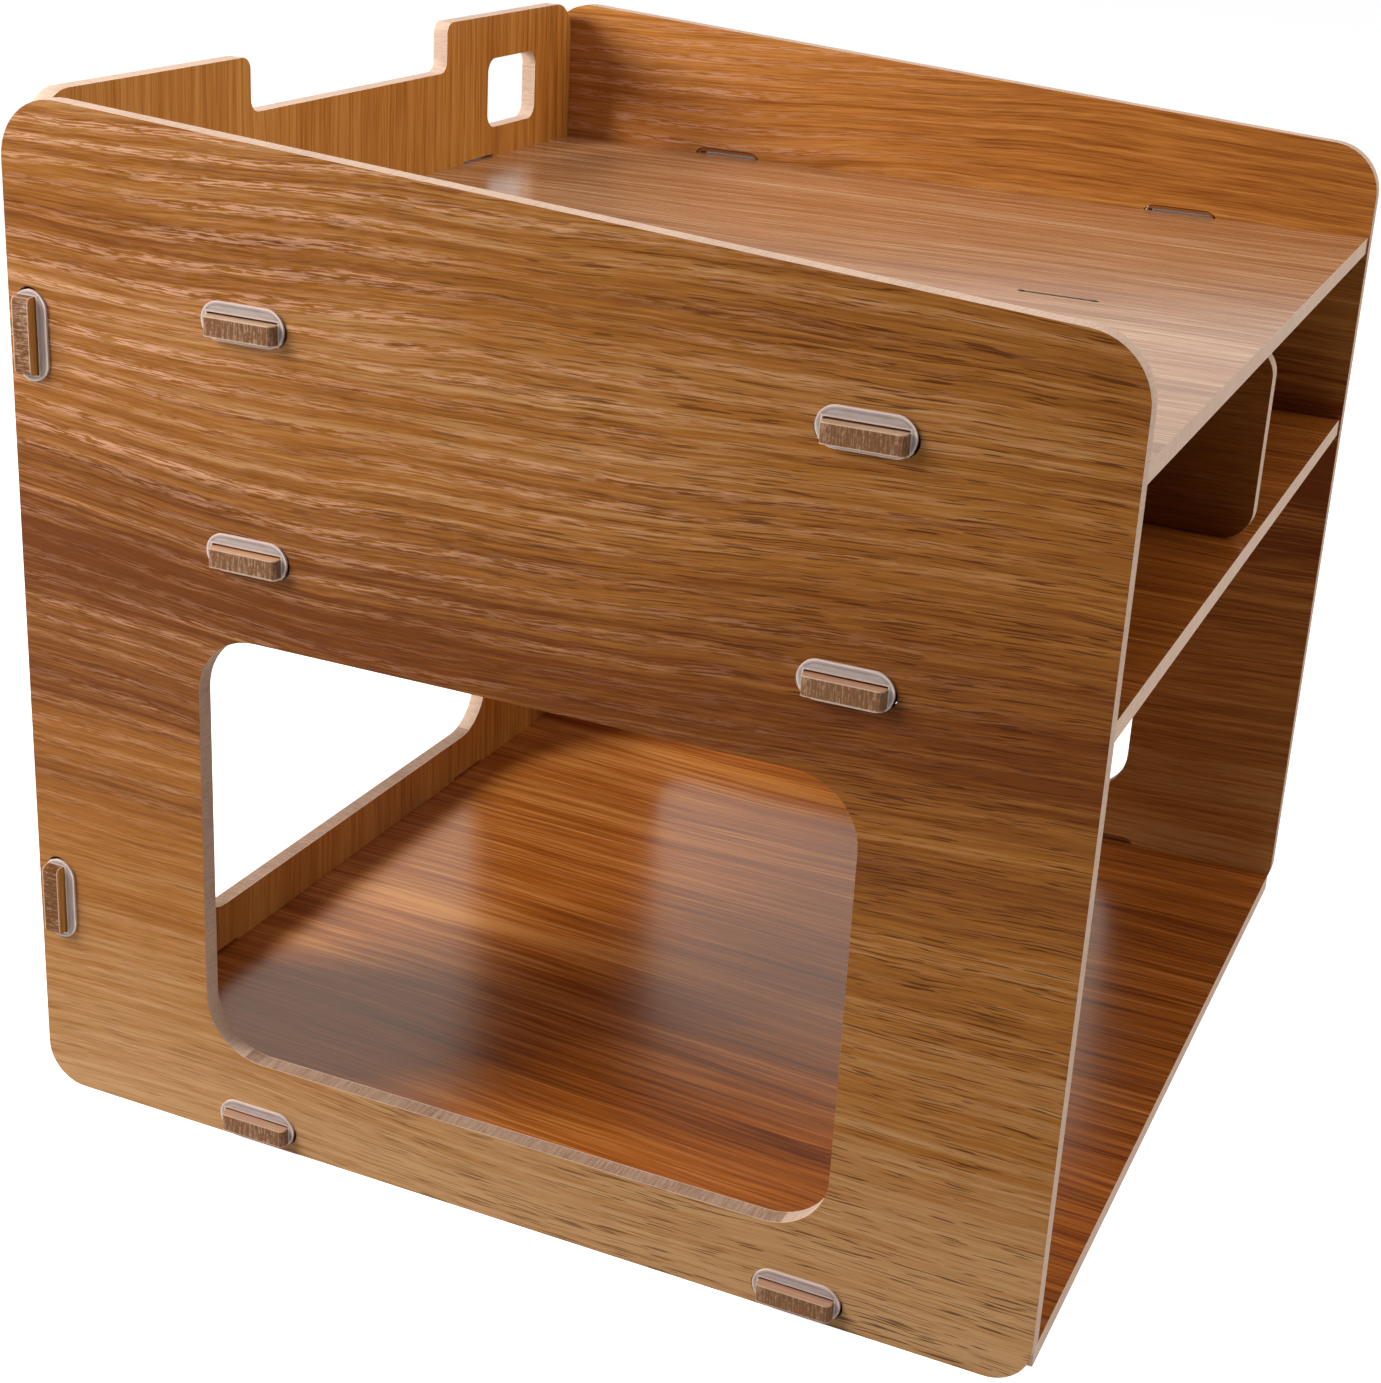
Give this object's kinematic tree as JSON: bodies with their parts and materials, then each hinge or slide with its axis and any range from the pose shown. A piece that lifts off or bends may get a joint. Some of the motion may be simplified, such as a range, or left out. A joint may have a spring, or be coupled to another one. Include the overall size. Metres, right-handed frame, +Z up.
{
  "type": "tiered paper rack",
  "caption": "Flat-pack desk rack of laminated board: open bay below, divided shelf above it and a tray on top, held by through-tenons in soft sleeves.",
  "frame": {"origin": "centre of the footprint, on the surface that the rack stands on", "axes": "+X across the width, to the right as seen from the open front; +Y from the front to the back panel; +Z up"},
  "size_m": [0.3268, 0.3126, 0.2993],
  "materials": {
    "laminated_board": "semi-gloss printed wood laminate with raw beige edges",
    "silicone": "translucent satin"
  },
  "bodies": {
    "root": {"left_side_panel": "laminated_board", "right_side_panel": "laminated_board", "back_panel": "laminated_board", "bottom_shelf": "laminated_board", "middle_shelf": "laminated_board", "top_shelf": "laminated_board", "divider_panel": "laminated_board", "sleeve_left_bottom_front": "silicone", "sleeve_left_bottom_rear": "silicone", "sleeve_left_middle_front": "silicone", "sleeve_left_middle_rear": "silicone", "sleeve_left_top_front": "silicone", "sleeve_left_top_rear": "silicone", "sleeve_left_back_lower": "silicone", "sleeve_left_back_upper": "silicone", "sleeve_right_bottom_front": "silicone", "sleeve_right_bottom_rear": "silicone", "sleeve_right_middle_front": "silicone", "sleeve_right_middle_rear": "silicone", "sleeve_right_top_front": "silicone", "sleeve_right_top_rear": "silicone", "sleeve_right_back_lower": "silicone", "sleeve_right_back_upper": "silicone"}
  },
  "joints": []
}
